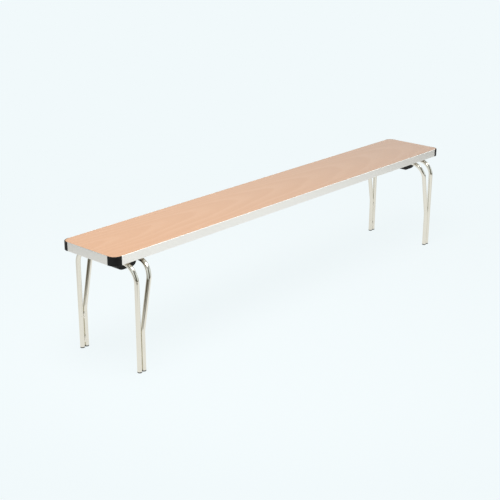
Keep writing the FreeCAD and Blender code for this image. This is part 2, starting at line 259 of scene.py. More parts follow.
def hand_over(piece, node, slot, *finishes):
    """A finished piece stands for a CAD node and rides on the bench; its slot is not used."""
    for finish in finishes:
        piece.data.materials.append(finish)
    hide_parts(node)
    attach(piece, "root")


def plus(tree, base, extra, share):
    """A value with a share of another added."""
    sockets = {0: extra, 1: share, 2: base}
    return put(tree, "Math", sockets, operation="MULTIPLY_ADD").outputs[0]


def bumped(tree, shader, height, depth):
    """Raises and sinks a surface by a pattern."""
    bump = put(tree, "Bump", {"Height": height, "Distance": depth, "Strength": 1.0})
    feed(tree, bump.outputs[0], shader.inputs["Normal"])


low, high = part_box("seat_laminate")
laminate = start_block("beech_seat_laminate", low, high)
pick_edges(UP)
round_edges(CORNER_RADIUS, CORNER_STEPS)
pick_sharp(lambda at: at.z > high.z - NEAR)
round_edges(TRIM, TRIM_STEPS, material=1)
end_shape(laminate)

beech, tree, shader = new_finish("beech_print")
along, across, _ = put(tree, "SeparateXYZ", {0: place(tree)}).outputs
stray = maths(tree, "SUBTRACT", noise(tree, place(tree, WANDER_WAVES), detail=2.0), 0.5)
offset = plus(tree, across, stray, WANDER)
depth = plus(tree, HEART_DEPTH, maths(tree, "ADD", along, HEART_START), HEART_SLOPE)
from_heart = put(tree, "CombineXYZ", {"X": offset, "Y": depth}).outputs[0]
reach = put(tree, "VectorMath", {0: from_heart}, operation="LENGTH").outputs["Value"]
ring = maths(tree, "FRACT", maths(tree, "DIVIDE", reach, RING_SPACING))
darkened = ranged(tree, ring, *RING_DARKENS)
ring_line = maths(tree, "MULTIPLY", darkened, ranged(tree, ring, *RING_CLEARS))
fibre = noise(tree, place(tree, BEECH_FIBRES), detail=4.0, roughness=0.6)
cloud = noise(tree, place(tree, BEECH_CLOUDS, CLOUD_SHIFT), detail=2.0)
tone = maths(tree, "MULTIPLY", ring_line, RING_SHARE)
tone = plus(tree, plus(tree, tone, fibre, FIBRE_SHARE), cloud, CLOUD_SHARE)
pale_to_mid = mixed(tree, ranged(tree, tone, *TONE_TO_MID), BEECH_PALE, BEECH_MID)
grained = mixed(tree, ranged(tree, tone, *TONE_TO_DARK), pale_to_mid, BEECH_DARK)
cells = {"Vector": place(tree, (1 / RAY_LENGTH, 1 / RAY_WIDTH, 1)), "Scale": 1.0}
ray = put(tree, "TexVoronoi", cells, voronoi_dimensions="2D").outputs
spot = ranged(tree, ray["Distance"], *RAY_RIM)
chance = put(tree, "SeparateColor", {0: ray["Color"]}).outputs[0]
fleck = maths(tree, "MULTIPLY", spot, ranged(tree, chance, *RAY_CHANCE, 0.0, RAY_STRENGTH))
feed(tree, mixed(tree, fleck, grained, BEECH_RAY), shader.inputs["Base Color"])
pebble = noise(tree, place(tree), PEBBLES, detail=2.0)
feed(tree, ranged(tree, pebble, *HALF, *BEECH_ROUGHNESS), shader.inputs["Roughness"])
shader.inputs["IOR"].default_value = MELAMINE_IOR
bumped(tree, shader, pebble, PEBBLE_DEPTH)

paper_edge, tree, shader = new_finish("laminate_edge")
sheets = noise(tree, place(tree, PAPER_SHEETS))
feed(tree, mixed(tree, sheets, PAPER_DARK, PAPER_PALE), shader.inputs["Base Color"])
feed(tree, ranged(tree, sheets, *MIDDLE, *PAPER_ROUGHNESS), shader.inputs["Roughness"])
hand_over(laminate, "seat_laminate", "beech_laminate", beech, paper_edge)


# Underside laminate
# A plain balancing sheet on the lower face, so that the core can't cup.
# It is matt and faintly mottled, and it is drilled where the screws and inserts go in.
BACKING_PALE = (0.60, 0.52, 0.42, 1)
BACKING_DARK = (0.47, 0.39, 0.30, 1)
BACKING_ROUGHNESS = (0.55, 0.72)
NARROW = (0.35, 0.65)  # of a noise's run
MOTTLES = (60, 90, 1)
SANDING_LINES = (5, 700, 1)
SANDING_DEPTH = 0.03 * MM

backing, tree, shader = new_finish("balancing_laminate")
mottle = noise(tree, place(tree, MOTTLES), detail=5.0, roughness=0.65)
sanding = noise(tree, place(tree, SANDING_LINES), detail=2.0)
blotch = ranged(tree, mean(tree, mottle, sanding), *NARROW)
feed(tree, mixed(tree, blotch, BACKING_DARK, BACKING_PALE), shader.inputs["Base Color"])
feed(tree, ranged(tree, sanding, *WIDE, *BACKING_ROUGHNESS), shader.inputs["Roughness"])
bumped(tree, shader, sanding, SANDING_DEPTH)
finish_nodes(backing, "underside_laminate")


# Edge rails
# Aluminium extrusions, satin anodised: a wall round the top's edge, a shelf under it and a lip.
# Cut square to length, they butt against the corner caps and are screwed up into the core.
RAIL_WALL = 2 * MM
RAIL_LIP = 7 * MM  # from the outer face
LIP_ROUND = 1.6 * MM  # the bright rounding along the top
LIP_STEPS = 8
RAIL_EDGE = 0.3 * MM
RAIL_EDGE_STEPS = 2
RAILS = {"front_edge_rail": 0, "right_end_rail": 90, "rear_edge_rail": 180, "left_end_rail": 270}
ALONG = Vector((1, 0, 0))
ACROSS = Vector((0, 1, 0))
ANODISED = (0.94, 0.94, 0.905, 1)
ANODISED_DIM = (0.92, 0.92, 0.885, 1)
ANODISED_RUBBED = (0.96, 0.96, 0.94, 1)
ANODISED_METAL = 0.96  # the rest is the cloudy oxide skin
ANODISED_ROUGHNESS = (0.34, 0.40)
ANODISED_HAZE = 0.03  # what finger marks add to the roughness
DIE_LINES = {"side": (2.5, 900, 900), "end": (900, 2.5, 900)}
DIE_LINE_DEPTH = 0.002 * MM
WEAR_SPAN = (0.995, 0.93)  # agreement of true and softened normals, from no wear to full
WEAR_BREAKS = (0.35, 0.6)  # of a noise's run, as the next two
SMUDGED = (0.45, 0.75)
SCRATCHED = (0.55, 0.7)
SCRATCHES = 90
SCRATCH_SPAN = (0.012, 0.0)  # of a scratch's cell, from its rim to its middle


def pick_faces(direction, wanted=anywhere):
    """Selects the faces that look in a direction, where their middles are wanted."""
    def chosen(face):
        return face.normal.dot(direction) > PARALLEL and wanted(face.calc_center_median())
    pick("FACE", chosen)


def draw_out(move):
    """Extrudes what is selected."""
    bpy.ops.mesh.extrude_region_move(TRANSFORM_OT_translate={"value": move})


def new_effect(name, inputs, outputs):
    """A node group that takes a place and numbers and gives numbers, and its two end nodes."""
    effect = bpy.data.node_groups.new(name, "ShaderNodeTree")
    effect.interface.new_socket("Vector", in_out="INPUT", socket_type="NodeSocketVector")
    for socket in inputs:
        effect.interface.new_socket(socket, in_out="INPUT", socket_type="NodeSocketFloat")
    for socket in outputs:
        effect.interface.new_socket(socket, in_out="OUTPUT", socket_type="NodeSocketFloat")
    return effect, effect.nodes.new("NodeGroupInput"), effect.nodes.new("NodeGroupOutput")


def use_effect(tree, effect, **values):
    """Places an effect in a material, with the piece's coordinates and values of its own."""
    node = tree.nodes.new("ShaderNodeGroup")
    node.node_tree = effect
    feed(tree, place(tree), node.inputs["Vector"])
    for name, value in values.items():
        feed(tree, value, node.inputs[name])
    return node.outputs


def agreement(tree, first, second):
    """1 where two directions are the same, and less the more they part."""
    sockets = {0: first, 1: second}
    return put(tree, "VectorMath", sockets, operation="DOT_PRODUCT").outputs["Value"]


# Worn edges: a mask that is 1 on outer edges, broken up by fine noise
edge_wear, given, result = new_effect("edge_wear", ["Width", "Breaks"], ["Mask"])
soft_normal = put(edge_wear, "Bevel", {"Radius": given.outputs["Width"]}, samples=6).outputs[0]
true_normal = put(edge_wear, "NewGeometry", {}).outputs["True Normal"]
on_edge = ranged(edge_wear, agreement(edge_wear, soft_normal, true_normal), *WEAR_SPAN)
breaks = noise(edge_wear, given.outputs["Vector"], given.outputs["Breaks"])
worn = maths(edge_wear, "MULTIPLY", on_edge, ranged(edge_wear, breaks, *WEAR_BREAKS))
feed(edge_wear, worn, result.inputs["Mask"])

# Handling: cloudy finger marks, and a few fine scratches
handling, given, result = new_effect("handling", ["Size"], ["Smudge", "Scratch"])
size = given.outputs["Size"]
cloudy = noise(handling, given.outputs["Vector"], size, detail=4.0, roughness=0.6)
feed(handling, ranged(handling, cloudy, *SMUDGED), result.inputs["Smudge"])
cells = {"Vector": given.outputs["Vector"], "Scale": SCRATCHES}
to_line = put(handling, "TexVoronoi", cells, feature="DISTANCE_TO_EDGE").outputs["Distance"]
hair = ranged(handling, to_line, *SCRATCH_SPAN)
scratch = maths(handling, "MULTIPLY", hair, ranged(handling, cloudy, *SCRATCHED))
feed(handling, scratch, result.inputs["Scratch"])


def anodised_finish(name, die_lines):
    """Satin anodised aluminium, with the die's fine lines along the rail."""
    material, tree, shader = new_finish(name)
    lines = noise(tree, place(tree, die_lines))
    smudge = use_effect(tree, handling, Size=9.0)["Smudge"]
    worn = use_effect(tree, edge_wear, Width=0.5 * MM, Breaks=300.0)["Mask"]
    streaked = mixed(tree, ranged(tree, lines, *MIDDLE), ANODISED_DIM, ANODISED)
    feed(tree, mixed(tree, worn, streaked, ANODISED_RUBBED), shader.inputs["Base Color"])
    satin = ranged(tree, lines, *WIDE, *ANODISED_ROUGHNESS)
    feed(tree, plus(tree, satin, smudge, ANODISED_HAZE), shader.inputs["Roughness"])
    shader.inputs["Metallic"].default_value = ANODISED_METAL
    bumped(tree, shader, lines, DIE_LINE_DEPTH)
    return material


side_finish = anodised_finish("anodised_side_rail", DIE_LINES["side"])
end_finish = anodised_finish("anodised_end_rail", DIE_LINES["end"])
shelf_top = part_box("underside_laminate")[0].z
shelf_low = shelf_top - RAIL_WALL
for node, turn in RAILS.items():
    low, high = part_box(node)
    run, out = (0, 1) if turn % 180 == 0 else (1, 0)
    half_run = high[run]
    face = max(abs(low[out]), abs(high[out]))
    shelf = high[out] - low[out]
    lip_top = low.z + RAIL_WALL
    wall_low = (-half_run, -face, low.z)
    wall_high = (half_run, RAIL_WALL - face, high.z)
    rail = start_block("anodised_" + node, wall_low, wall_high)
    for level in (lip_top, shelf_low, shelf_top):
        bpy.ops.mesh.select_all(action="SELECT")
        bpy.ops.mesh.bisect(plane_co=(0, 0, level), plane_no=UP)
    for bottom, top, width in ((shelf_low, shelf_top, shelf), (low.z, lip_top, RAIL_LIP)):
        pick_faces(ACROSS, lambda at: bottom < at.z < top)
        draw_out((0, width - RAIL_WALL, 0))
    pick_edges(ALONG, lambda at: at.z > high.z - NEAR and at.y < NEAR - face)
    round_edges(LIP_ROUND, LIP_STEPS)
    pick_sharp()
    round_edges(RAIL_EDGE, RAIL_EDGE_STEPS, clamp_overlap=True)
    end_shape(rail)
    rail.data.transform(Matrix.Rotation(radians(turn), 4, "Z"))
    hand_over(rail, node, "rail_aluminium", side_finish if run == 0 else end_finish)


# Corner caps
# Black plastic mouldings that close the corners and cover the cut ends of the rails.
# Each has a web under the core with a screw in it, and spigots pushed into both rails.
CAP_WALL = 3.2 * MM
CAP_SIDE = 32 * MM  # along each side, over the outside
CAP_RADIUS = 30 * MM
CAP_STEPS = 20
CAP_TOP_ROUND = 2.4 * MM
CAP_TOP_STEPS = 5
CAP_FOOT_ROUND = 0.9 * MM
CAP_FOOT_STEPS = 4
CAP_BAND = 8.2 * MM  # the thicker lower part, from the outside
SPIGOT_GAP = 0.15 * MM
CORNERS = {"left_front": 0, "right_front": 90, "right_rear": 180, "left_rear": 270}
MOULDED_SMOOTH = 30  # degrees
BLACK = (0.003, 0.003, 0.003, 1)
BLACK_WORN = (0.030, 0.030, 0.029, 1)
BLACK_ROUGHNESS = 0.55
PLASTIC_SHEEN = 0.28  # specular level
SPARK_PITS = 2200
SPARK_DEPTH = 0.03 * MM
SPARK_SPREAD = 0.06  # of the roughness
SMUDGE_SHINE = 0.08  # what finger marks take from the roughness

# Spark texture: the fine even roughness that a mould's eroded wall leaves on plastic
spark_texture, given, result = new_effect("spark_texture", ["Scale"], ["Height"])
pits = noise(spark_texture, given.outputs["Vector"], given.outputs["Scale"], roughness=0.65)
feed(spark_texture, pits, result.inputs["Height"])


def moulded_finish(name, plain, worn_colour, roughness, wear=0.5):
    """Moulded plastic: spark texture, finger marks, and paler worn edges."""
    material, tree, shader = new_finish(name)
    pits = use_effect(tree, spark_texture, Scale=SPARK_PITS)["Height"]
    marks = use_effect(tree, handling, Size=30.0)
    worn = use_effect(tree, edge_wear, Width=0.8 * MM, Breaks=500.0)["Mask"]
    rub = maths(tree, "MULTIPLY", maths(tree, "ADD", worn, marks["Scratch"]), wear)
    feed(tree, mixed(tree, rub, plain, worn_colour), shader.inputs["Base Color"])
    matt = ranged(tree, pits, *MIDDLE, roughness - SPARK_SPREAD, roughness + SPARK_SPREAD)
    feed(tree, plus(tree, matt, marks["Smudge"], -SMUDGE_SHINE), shader.inputs["Roughness"])
    shader.inputs["Specular IOR Level"].default_value = PLASTIC_SHEEN
    bumped(tree, shader, pits, SPARK_DEPTH)
    return material


def combine(piece, operation, other):
    """Fuses another mesh into the piece, or cuts it out of it."""
    change = piece.modifiers.new("combine", "BOOLEAN")
    change.operation = operation
    change.solver = "EXACT"
    change.object = other
    bpy.context.view_layer.objects.active = piece
    bpy.ops.object.modifier_apply(modifier=change.name)
    bpy.data.objects.remove(other)


def own_copy(piece, name):
    """A copy of a piece with a mesh of its own."""
    copy = piece.copy()
    copy.data = piece.data.copy()
    copy.name = name
    bpy.context.collection.objects.link(copy)
    return copy


def corner_block(name, low, bottom, top, radius):
    """A block in the left front corner with its outer upright edge rounded, open for editing."""
    block = start_block(name, (low.x, low.y, bottom), (low.x + CAP_SIDE, low.y + CAP_SIDE, top))
    pick_edges(UP, lambda at: max(at.x - low.x, at.y - low.y) < NEAR)
    round_edges(radius, CAP_STEPS)
    return block


def on_outside(at, low):
    """Whether a point is on the cap's two outer faces or the round between them."""
    near, far = sorted((at.x - low.x, at.y - low.y))
    return near < CAP_RADIUS - NEAR and far < CAP_SIDE - NEAR


low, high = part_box("left_front_corner_cap")
cap = corner_block("corner_cap", low, low.z, high.z, CAP_RADIUS)
top_round = (high.z, CAP_TOP_ROUND, CAP_TOP_STEPS)
foot_round = (low.z, CAP_FOOT_ROUND, CAP_FOOT_STEPS)
for level, radius, steps in (top_round, foot_round):
    pick_sharp(lambda at: abs(at.z - level) < NEAR and on_outside(at, low))
    round_edges(radius, steps)
close(cap)
above_web = (CAP_WALL, shelf_top, high.z + CAP_WALL)
below_web = (CAP_BAND, low.z - CAP_WALL, shelf_low)
for wall, bottom, top in (above_web, below_web):
    inner = low + Vector((wall, wall, 0))
    hollow = corner_block("hollow", inner, bottom, top, CAP_RADIUS - wall)
    combine(cap, "DIFFERENCE", close(hollow))
start = CAP_SIDE - CAP_WALL
inside = CAP_WALL + SPIGOT_GAP
outside = CAP_BAND - SPIGOT_GAP
bottom = low.z + RAIL_WALL + SPIGOT_GAP
top = shelf_low - SPIGOT_GAP
in_side_rail = ((low.x + start, low.y + inside, bottom), (high.x, low.y + outside, top))
in_end_rail = ((low.x + inside, low.y + start, bottom), (low.x + outside, high.y, top))
for spigot_low, spigot_high in (in_side_rail, in_end_rail):
    spigot = start_block("spigot", spigot_low, spigot_high)
    combine(cap, "UNION", close(spigot))
end_shape(cap, MOULDED_SMOOTH)
cap_plastic = moulded_finish("black_cap_plastic", BLACK, BLACK_WORN, BLACK_ROUGHNESS)
for corner, turn in CORNERS.items():
    node = corner + "_corner_cap"
    corner_low, corner_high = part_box(node)
    outer_x = corner_low.x if "left" in corner else corner_high.x
    outer_y = corner_low.y if "front" in corner else corner_high.y
    copy = own_copy(cap, "moulded_" + node)
    copy.data.transform(Matrix.Translation((-low.x, -low.y, 0)))
    copy.data.transform(Matrix.Rotation(radians(turn), 4, "Z"))
    copy.data.transform(Matrix.Translation((outer_x, outer_y, 0)))
    hand_over(copy, node, "cap_plastic", cap_plastic)
bpy.data.objects.remove(cap)


# Leg hoops
# Chrome-plated steel tube, one length to a hoop, bent down at both sides of the bench.
# At each end an outer and an inner hoop cross under the top, and their legs run together.
TUBE_RADIUS = 8 * MM
TUBE_WALL = 1.5 * MM
TUBE_STEPS = 48
TUBE_SMOOTH = 40  # degrees
BEND_RADIUS = 58 * MM
BEND_STEPS = 30
MEETING_HEIGHT = 140 * MM
MEETING_BEND = 100 * MM
KNEE_STEPS = 8
STRAIGHT = 1e-6  # radians
ENDS = ("left", "right")
CHROME = (0.750, 0.732, 0.652, 1)
CHROME_DULL = (0.710, 0.688, 0.608, 1)
CHROME_ROUGHNESS = (0.035, 0.07)
CHROME_HAZE = 0.08  # what finger marks add to the roughness
CHROME_SCRATCH = 0.15
DULL_SHARE = 0.5
RIPPLES = 55
RIPPLE_DEPTH = 0.012 * MM


def bend_tube(steps, angle, centre, axis):
    """Bends the open end of the tube on about a centre; spin counts its angle clockwise."""
    bpy.ops.mesh.spin(steps=steps, angle=-angle, center=centre, axis=axis)


def bent_hoop(node, top_x):
    """A hoop as on the tube bender, from the front foot up, across and down to the rear foot."""
    low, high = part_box(node)
    foot_x = low.x + TUBE_RADIUS if top_x < 0 else high.x - TUBE_RADIUS
    leg_y = high.y - TUBE_RADIUS
    level = high.z - TUBE_RADIUS
    half_span = leg_y - BEND_RADIUS
    fall = Vector((foot_x - top_x, 0, MEETING_HEIGHT - level)).normalized()
    knee = fall.angle(-UP)
    reach = MEETING_BEND * tan(knee / 2)
    inward = 1 if foot_x < top_x else -1
    knee_x = foot_x + inward * MEETING_BEND
    knee_z = MEETING_HEIGHT - reach
    leg_length = (MEETING_HEIGHT - level) / fall.z - reach - BEND_RADIUS
    straight_length = level - BEND_RADIUS - low.z
    bend_axis = ACROSS.cross(fall)
    hoop = start_shape(bpy.ops.mesh.primitive_circle_add, "chrome_" + node, vertices=TUBE_STEPS,
                       radius=TUBE_RADIUS, location=(foot_x, -leg_y, low.z))
    if knee > STRAIGHT:
        draw_out((0, 0, knee_z - low.z))
        bend_tube(KNEE_STEPS, inward * knee, (knee_x, -leg_y, knee_z), ACROSS)
        draw_out(-fall * leg_length)
    else:
        draw_out((0, 0, straight_length))
    front_centre = Vector((top_x, -half_span, level)) + fall * BEND_RADIUS
    bend_tube(BEND_STEPS, pi / 2, front_centre, bend_axis)
    draw_out((0, 2 * half_span, 0))
    rear_centre = Vector((top_x, half_span, level)) + fall * BEND_RADIUS
    bend_tube(BEND_STEPS, pi / 2, rear_centre, bend_axis)
    if knee > STRAIGHT:
        draw_out(fall * leg_length)
        bend_tube(KNEE_STEPS, -inward * knee, (knee_x, leg_y, knee_z), ACROSS)
        draw_out((0, 0, low.z - knee_z))
    else:
        draw_out((0, 0, -straight_length))
    bpy.ops.mesh.select_all(action="SELECT")
    bpy.ops.mesh.remove_doubles(threshold=NEAR)
    bpy.ops.mesh.normals_make_consistent(inside=False)
    close(hoop)
    wall = hoop.modifiers.new("wall", "SOLIDIFY")
    wall.thickness = TUBE_WALL
    wall.offset = -1
    bpy.ops.object.modifier_apply(modifier=wall.name)
    end_shape(hoop, TUBE_SMOOTH)
    return hoop


def tube_lines(end):
    """Where the outer and the inner tube of an end cross under the top, along the bench."""
    outer_low, outer_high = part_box(end + "_outer_hoop")
    inner_low, inner_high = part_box(end + "_inner_hoop")
    inner_x = inner_high.x - TUBE_RADIUS if end == "left" else inner_low.x + TUBE_RADIUS
    return (outer_low.x + outer_high.x) / 2, inner_x


chrome, tree, shader = new_finish("chrome_plate")
marks = use_effect(tree, handling, Size=14.0)
ripple = noise(tree, place(tree), RIPPLES, detail=2.0)
dulled = maths(tree, "MULTIPLY", marks["Smudge"], DULL_SHARE)
feed(tree, mixed(tree, dulled, CHROME, CHROME_DULL), shader.inputs["Base Color"])
polish = ranged(tree, ripple, *MIDDLE, *CHROME_ROUGHNESS)
haze = plus(tree, polish, marks["Smudge"], CHROME_HAZE)
feed(tree, plus(tree, haze, marks["Scratch"], CHROME_SCRATCH), shader.inputs["Roughness"])
shader.inputs["Metallic"].default_value = 1.0
bumped(tree, shader, ripple, RIPPLE_DEPTH)
for end in ENDS:
    hoops = (end + "_outer_hoop", end + "_inner_hoop")
    for node, top_x in zip(hoops, tube_lines(end)):
        hand_over(bent_hoop(node, top_x), node, "chrome_tube", chrome)


# Leg welds
# Short runs of weld in the groove between the two legs of a pair, on the side towards the bench.
# They were laid before plating, so the chrome covers them and softens their ripples.
WELD_RADIUS = 3.4 * MM
WELD_SIDES = 24
WELD_STEP = 1 * MM  # half a ripple
WELD_RIPPLE = 0.03  # of the radius
WELD_TIP = 0.15  # of the radius
WELD_SET_IN = 4.4 * MM
WELD_LENGTH = 24 * MM
WELD_HEIGHTS = (18 * MM, 104 * MM)
WELD_SMOOTH = 70  # degrees
WELD_BRIGHT = (0.90, 0.875, 0.80, 1)
WELD_DARK = (0.82, 0.79, 0.71, 1)
WELD_ROUGHNESS = (0.38, 0.55)
WELD_SCALE = 700
WELD_SCALE_DEPTH = 0.02 * MM


def rippled_bead():
    """One bead standing on the origin, drawn up ripple by ripple between two blunt tips."""
    bead = start_shape(bpy.ops.mesh.primitive_circle_add, "bead", vertices=WELD_SIDES,
                       radius=WELD_RADIUS * WELD_TIP, fill_type="NGON")
    bpy.ops.mesh.select_mode(type="FACE")
    steps = round(WELD_LENGTH / WELD_STEP)
    width = WELD_TIP
    for step in range(1, steps + 1):
        from_middle = abs(2 * step / steps - 1)
        drawn_in = max(WELD_TIP, sqrt(1 - from_middle ** 3))
        next_width = drawn_in * (1 - WELD_RIPPLE * (step % 2))
        draw_out((0, 0, WELD_STEP))
        bpy.ops.transform.resize(value=(next_width / width, next_width / width, 1))
        width = next_width
    bpy.ops.mesh.select_all(action="SELECT")
    bpy.ops.mesh.normals_make_consistent(inside=False)
    end_shape(bead, WELD_SMOOTH)
    return bead


bead = rippled_bead()
beads = []
for end in ENDS:
    outer_low, outer_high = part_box(end + "_outer_hoop")
    inner_low, inner_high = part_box(end + "_inner_hoop")
    edges = sorted((outer_low.x, outer_high.x, inner_low.x, inner_high.x))
    groove_x = (edges[1] + edges[2]) / 2  # where the two legs touch
    for side in (-1, 1):
        groove_y = side * (outer_high.y - TUBE_RADIUS - WELD_SET_IN)
        for height in WELD_HEIGHTS:
            copy = own_copy(bead, "bead")
            copy.data.transform(Matrix.Translation((groove_x, groove_y, height)))
            beads.append(copy)
bpy.data.objects.remove(bead)
bpy.ops.object.select_all(action="DESELECT")
for bead in beads:
    bead.select_set(True)
bpy.context.view_layer.objects.active = beads[0]
bpy.ops.object.join()
welds = bpy.context.object
welds.name = "rippled_leg_welds"
plated_weld, tree, shader = new_finish("plated_weld")
scale = noise(tree, place(tree), WELD_SCALE)
feed(tree, mixed(tree, scale, WELD_DARK, WELD_BRIGHT), shader.inputs["Base Color"])
feed(tree, ranged(tree, scale, *MIDDLE, *WELD_ROUGHNESS), shader.inputs["Roughness"])
shader.inputs["Metallic"].default_value = 1.0
bumped(tree, shader, scale, WELD_SCALE_DEPTH)
hand_over(welds, "leg_welds", "chrome_tube", plated_weld)


# Saddles
# Black plastic spacers between the top and the hoops, with a flange against the underside
# and two grooves that the tubes lie in. The clamp screws pass through them.
FLANGE = 4 * MM
FLANGE_MARGIN = 6 * MM
FLANGE_CORNER = 5 * MM
FLANGE_STEPS = 8
BLOCK_EDGE = 0.8 * MM
BLOCK_EDGE_STEPS = 3
GROOVE_RADIUS = 8.1 * MM


def cut_grooves(piece, corner, low, high):
    """Cuts the grooves for the two tubes that cross a piece."""
    end = corner.split("_")[0]
    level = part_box(end + "_outer_hoop")[1].z - TUBE_RADIUS
    middle_y = (low.y + high.y) / 2
    for x in tube_lines(end):
        bar = start_shape(bpy.ops.mesh.primitive_cylinder_add, "groove", vertices=TUBE_STEPS,
                          radius=GROOVE_RADIUS, depth=2 * (high.y - low.y),
                          location=(x, middle_y, level), rotation=(pi / 2, 0, 0))
        combine(piece, "DIFFERENCE", close(bar))


block_plastic = moulded_finish("black_block_plastic", BLACK, BLACK_WORN, BLACK_ROUGHNESS)
for corner in CORNERS:
    node = corner + "_saddle"
    low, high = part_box(node)
    saddle = start_block("moulded_" + node, (low.x, low.y, high.z - FLANGE), high)
    pick_faces(-UP)
    bpy.ops.mesh.inset(thickness=FLANGE_MARGIN)
    draw_out((0, 0, low.z - high.z + FLANGE))
    pick_edges(UP, lambda at: at.z > high.z - FLANGE)
    round_edges(FLANGE_CORNER, FLANGE_STEPS)
    pick_sharp(lambda at: at.z < high.z - NEAR)
    round_edges(BLOCK_EDGE, BLOCK_EDGE_STEPS)
    close(saddle)
    cut_grooves(saddle, corner, low, high)
    end_shape(saddle, MOULDED_SMOOTH)
    hand_over(saddle, node, "block_plastic", block_plastic)


# Clamp blocks
# Black plastic blocks with rounded ends that hold the tubes up into the saddles.
# The screw heads sit in deep pockets, so the flat bellies can rest on a bench below.
HEEL_ROUND = 32 * MM  # the lower outer end
TOE_ROUND = 20 * MM  # the lower inner end
BLOCK_END_STEPS = 14
BELLY_EDGE = 3 * MM
BELLY_STEPS = 5
POCKET_RADIUS = 7 * MM
POCKET_STEPS = 40
POCKET_DEPTH = 16 * MM
SCREW_SPACING = 20 * MM

for corner in CORNERS:
    node = corner + "_clamp_block"
    end = corner.split("_")[0]
    low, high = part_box(node)
    heel_x, toe_x = (low.x, high.x) if end == "left" else (high.x, low.x)
    middle_y = (low.y + high.y) / 2
    block = start_block("moulded_" + node, low, high)
    for end_x, radius in ((heel_x, HEEL_ROUND), (toe_x, TOE_ROUND)):
        pick_edges(ACROSS, lambda at: at.z < low.z + NEAR and abs(at.x - end_x) < NEAR)
        round_edges(radius, BLOCK_END_STEPS)
    pick_sharp(lambda at: at.z < high.z - NEAR and min(at.y - low.y, high.y - at.y) < NEAR)
    round_edges(BELLY_EDGE, BELLY_STEPS)
    close(block)
    cut_grooves(block, corner, low, high)
    middle_x = sum(tube_lines(end)) / 2
    for screw_y in (middle_y - SCREW_SPACING / 2, middle_y + SCREW_SPACING / 2):
        pocket = start_shape(bpy.ops.mesh.primitive_cylinder_add, "pocket", vertices=POCKET_STEPS,
                             radius=POCKET_RADIUS, depth=2 * POCKET_DEPTH,
                             location=(middle_x, screw_y, low.z))
        combine(block, "DIFFERENCE", close(pocket))
    end_shape(block, MOULDED_SMOOTH)
    hand_over(block, node, "block_plastic", block_plastic)


# Screws and inserts
# Socket-head clamp screws run up into brass inserts in the core, and cross-drive screws hold
# the rails and caps. They are zinc-plated steel, bright with a faint cloudy passivation.
ZINC = (0.60, 0.60, 0.58, 1)
ZINC_CLOUD = (0.48, 0.49, 0.50, 1)
BRASS = (0.70, 0.52, 0.24, 1)
BRASS_DULL = (0.52, 0.36, 0.15, 1)
PLATE_CLOUDS = 260
PLATE_ROUGHNESS = (0.26, 0.40)
RUBBED_SHINE = 0.08  # what worn edges lose in roughness
LATHE_LINES = (1, 1, 5000)
LATHE_DEPTH = 0.01 * MM


def plated_finish(name, bright, dull):
    """Plated or turned metal, cloudy and with lathe lines round its height."""
    material, tree, shader = new_finish(name)
    cloud = ranged(tree, noise(tree, place(tree), PLATE_CLOUDS), *NARROW)
    lathe = noise(tree, place(tree, LATHE_LINES), detail=2.0)
    worn = use_effect(tree, edge_wear, Width=0.3 * MM, Breaks=900.0)["Mask"]
    feed(tree, mixed(tree, cloud, bright, dull), shader.inputs["Base Color"])
    turned = ranged(tree, lathe, *MIDDLE, *PLATE_ROUGHNESS)
    feed(tree, plus(tree, turned, worn, -RUBBED_SHINE), shader.inputs["Roughness"])
    shader.inputs["Metallic"].default_value = 1.0
    bumped(tree, shader, lathe, LATHE_DEPTH)
    return material


zinc_plate = plated_finish("zinc_plate", ZINC, ZINC_CLOUD)
turned_brass = plated_finish("turned_brass", BRASS, BRASS_DULL)
finish_nodes(zinc_plate, "clamp_screws", "rail_screws", "corner_cap_screws")
finish_nodes(turned_brass, "clamp_screw_inserts")


# Foot glides
# Dark grey plastic plugs, one pushed into each tube end, so the chrome never meets the floor.
# The head has a rounded foot and a shallow dish under it, scuffed where it slides.
HEAD_HEIGHT = 4 * MM
HEAD_ROUND = 1 * MM
HEAD_ROUND_STEPS = 4
STEM_STEP = 1.5 * MM
DISH_RIM = 2 * MM
DISH_DEPTH = 0.5 * MM
GREY = (0.055, 0.055, 0.055, 1)
GREY_SCUFFED = (0.20, 0.195, 0.185, 1)
GREY_ROUGHNESS = 0.5

glide_plastic = moulded_finish("grey_glide_plastic", GREY, GREY_SCUFFED, GREY_ROUGHNESS, wear=0.9)
for corner in CORNERS:
    for tube in ("_outer_glide", "_inner_glide"):
        node = corner + tube
        low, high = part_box(node)
        radius = (high.x - low.x) / 2
        middle = Vector((low.x + radius, (low.y + high.y) / 2, 0))
        glide = start_shape(bpy.ops.mesh.primitive_cylinder_add, "moulded_" + node,
                            vertices=TUBE_STEPS, radius=radius, depth=HEAD_HEIGHT,
                            location=middle + UP * HEAD_HEIGHT / 2)
        pick_faces(UP)
        bpy.ops.mesh.inset(thickness=STEM_STEP)
        draw_out((0, 0, high.z - HEAD_HEIGHT))
        pick_faces(-UP)
        bpy.ops.mesh.inset(thickness=DISH_RIM)
        draw_out((0, 0, DISH_DEPTH))
        pick_sharp(lambda at: at.z < NEAR and (at - middle).length > radius - HEAD_ROUND)
        round_edges(HEAD_ROUND, HEAD_ROUND_STEPS)
        end_shape(glide, MOULDED_SMOOTH)
        hand_over(glide, node, "glide_plastic", glide_plastic)
